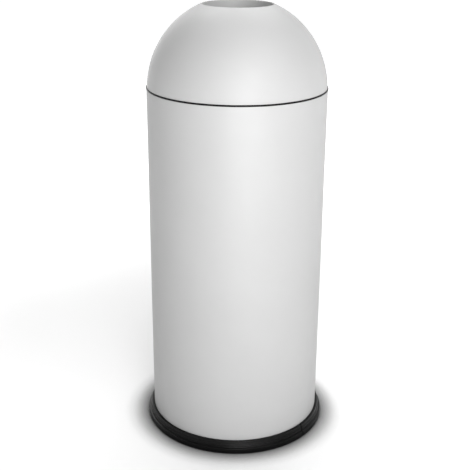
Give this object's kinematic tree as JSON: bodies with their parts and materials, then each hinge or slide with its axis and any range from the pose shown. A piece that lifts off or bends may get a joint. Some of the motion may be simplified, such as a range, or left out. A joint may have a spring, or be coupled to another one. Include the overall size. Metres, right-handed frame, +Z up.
{
  "type": "ashtray bin",
  "caption": "Bullet-shaped sheet-steel bin with a lift-off dome, a round hole with a lift-out ash bowl and grid, a galvanised liner with a bail and a black base ring.",
  "frame": {"origin": "centre of the base ring's underside, on the floor", "axes": "+Z up along the bin's axis, -Y the front, +X to the right seen from the front"},
  "size_m": [0.3624, 0.3624, 0.8404],
  "materials": {
    "powder_coated_steel": "satin white powder coat on steel sheet",
    "black_moulded_plastic": "moulded black plastic, half gloss",
    "galvanised_steel": "hot-dip galvanised sheet with spangle",
    "zinc_plated_steel": "bright zinc plating",
    "spring_steel": "blued spring strip",
    "stainless_steel": "spun stainless sheet",
    "grip_plastic": "moulded black plastic, fine grain"
  },
  "bodies": {
    "outer_bin": {"body_shell": "powder_coated_steel", "neck_trim": "black_moulded_plastic", "base_plate": "galvanised_steel", "base_ring": "black_moulded_plastic", "base_ring_joiner": "black_moulded_plastic", "base_screws": "zinc_plated_steel"},
    "dome": {"dome_shell": "powder_coated_steel", "dome_skirt": "powder_coated_steel", "catch_spring_1": "spring_steel", "catch_spring_2": "spring_steel", "catch_spring_3": "spring_steel", "spring_rivets": "zinc_plated_steel", "bowl_seat": "powder_coated_steel"},
    "bowl": {"ash_bowl": "stainless_steel"},
    "grid": {"stub_grid": "stainless_steel"},
    "liner": {"liner_wall": "galvanised_steel", "liner_base": "galvanised_steel", "rim_wire": "zinc_plated_steel", "bail_ear_right": "zinc_plated_steel", "bail_ear_left": "zinc_plated_steel", "ear_rivets": "zinc_plated_steel"},
    "bail": {"bail_wire": "zinc_plated_steel", "bail_grip": "grip_plastic"}
  },
  "joints": [
    {"name": "dome_lift", "type": "slide", "parent": "outer_bin", "child": "dome", "axis": [0, 0, 1], "range_m": [0, 1]},
    {"name": "liner_lift", "type": "slide", "parent": "outer_bin", "child": "liner", "axis": [0, 0, 1], "range_m": [0, 0.7]},
    {"name": "bail_swing", "type": "hinge", "parent": "liner", "child": "bail", "pos_m": [0, 0, 0.6159], "axis": [1, 0, 0], "range_deg": [0, 180]},
    {"name": "ash_bowl_lift", "type": "slide", "parent": "dome", "child": "bowl", "axis": [0, 0, 1], "range_m": [0, 0.12]},
    {"name": "stub_grid_lift", "type": "slide", "parent": "bowl", "child": "grid", "axis": [0, 0, 1], "range_m": [0, 0.06]}
  ],
  "couplings": [
    {"joint": "liner_lift", "follows": "dome_lift", "ratio": 0.7}
  ]
}
